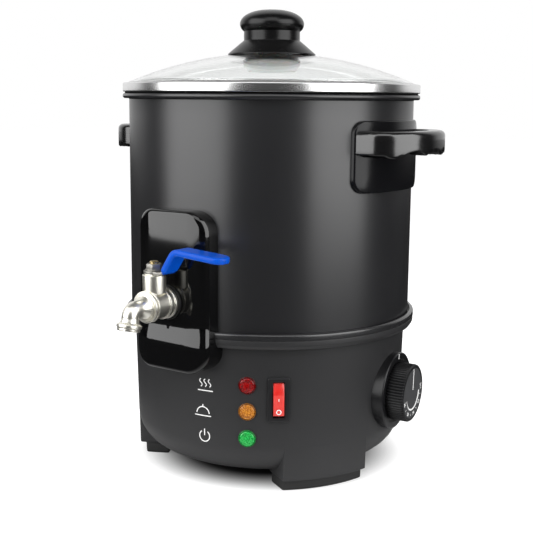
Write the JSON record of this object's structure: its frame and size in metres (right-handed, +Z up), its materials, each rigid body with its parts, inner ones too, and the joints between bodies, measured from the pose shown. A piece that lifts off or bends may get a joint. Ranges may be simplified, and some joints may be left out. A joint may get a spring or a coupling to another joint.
{
  "type": "electric wax melter",
  "caption": "Lidded electric pot in a dark steel shell on a footed base for melting candle wax, with a lever tap, loop handles, a thermostat dial, lamps and a rocker switch.",
  "frame": {"origin": "point on the worktop below the pot's vertical axis", "axes": "+Z up along the pot's axis; -Y out of the tap; +X towards the right-hand handle and the dial, seen from the tap's side"},
  "size_m": [0.2762, 0.2755, 0.3375],
  "materials": {
    "base_plastic": "dark grey, satin moulded",
    "cover_plastic": "black, satin moulded",
    "pad_rubber": "matt black",
    "shell_paint": "dark grey enamel, semi-gloss",
    "trim_metal": "dark grey satin metal",
    "pot_steel": "drawn stainless, satin",
    "lid_steel": "bright stainless",
    "lid_glass": "clear tempered, ground rim",
    "knob_plastic": "black phenolic, satin",
    "washer_plastic": "clear plastic",
    "seal_rubber": "black silicone",
    "wool": "mineral fibre blanket",
    "heater_aluminium": "cast, dull",
    "plate_steel": "zinc plated",
    "ceramic": "glazed ceramic white",
    "cover_gloss": "black, high gloss",
    "tap_nickel": "bright nickel plate",
    "brass": "turned",
    "ptfe": "white PTFE",
    "lever_vinyl": "blue dipped vinyl, glossy",
    "handle_plastic": "black, satin moulded",
    "screw_steel": "zinc plated",
    "lens_red": "transparent red",
    "lens_amber": "transparent amber",
    "lens_green": "transparent green",
    "lamp_plastic": "black nylon",
    "switch_plastic": "black nylon",
    "rocker_plastic": "translucent red",
    "dial_plastic": "black, satin moulded",
    "bezel_plastic": "black, gloss moulded",
    "inlet_plastic": "black nylon",
    "pin_metal": "nickel plated brass"
  },
  "bodies": {
    "melter_body": {"base_housing": "base_plastic", "bottom_cover": "cover_plastic", "cover_screws": "screw_steel", "foot_pads": "pad_rubber", "collar_ring": "trim_metal", "terminal_block": "ceramic", "outer_shell": "shell_paint", "inner_pot": "pot_steel", "rim_gasket": "seal_rubber", "insulation_sleeve": "wool", "heater_plate": "heater_aluminium", "heating_element": "plate_steel", "clamp_plate": "plate_steel", "clamp_nut": "screw_steel", "heat_shield": "plate_steel", "thermal_cutout": "plate_steel", "sensor_bulb": "brass", "bulb_clip": "plate_steel", "tap_cover": "cover_gloss", "tap_spacer": "ptfe", "tap_gasket": "seal_rubber", "tap_inner_gasket": "seal_rubber", "tap_locknut": "tap_nickel", "tap_body": "tap_nickel", "tap_gland": "tap_nickel", "tap_seat_rings": "ptfe", "tap_spout": "tap_nickel", "handle_right": "handle_plastic", "handle_left": "handle_plastic", "handle_screws": "screw_steel", "red_lens": "lens_red", "amber_lens": "lens_amber", "green_lens": "lens_green", "lamp_holders": "lamp_plastic", "switch_housing": "switch_plastic", "dial_bezel": "bezel_plastic", "thermostat": "plate_steel", "inlet_socket": "inlet_plastic", "inlet_pins": "pin_metal", "inlet_screws": "screw_steel"},
    "lid": {"lid_glass": "lid_glass", "lid_band": "lid_steel", "lid_knob_skirt": "knob_plastic", "lid_knob_cap": "knob_plastic", "lid_seal": "seal_rubber", "lid_cup_washer": "washer_plastic", "lid_screw": "screw_steel"},
    "tap_lever": {"lever_strap": "tap_nickel", "lever_sleeve": "lever_vinyl", "lever_nut": "tap_nickel", "tap_stem": "brass", "tap_ball": "brass"},
    "dial": {"dial_knob": "dial_plastic", "dial_spindle": "screw_steel"},
    "rocker": {"switch_rocker": "rocker_plastic"}
  },
  "joints": [
    {"name": "lid_lift", "type": "slide", "parent": "melter_body", "child": "lid", "axis": [0, 0, 1], "range_m": [0, 0.1]},
    {"name": "tap_turn", "type": "hinge", "parent": "melter_body", "child": "tap_lever", "pos_m": [0, -0.1317, 0.1568], "axis": [0, 0, 1], "range_deg": [-90, 0]},
    {"name": "dial_turn", "type": "hinge", "parent": "melter_body", "child": "dial", "pos_m": [0.10138, 0.01389, 0.0609], "axis": [0.9905, 0.1357, -0.0244], "range_deg": [-290, 0]},
    {"name": "rocker_tilt", "type": "hinge", "parent": "melter_body", "child": "rocker", "pos_m": [0.06344, -0.07641, 0.06858], "axis": [0.7694, 0.6388, 0], "range_deg": [0, 22]}
  ]
}
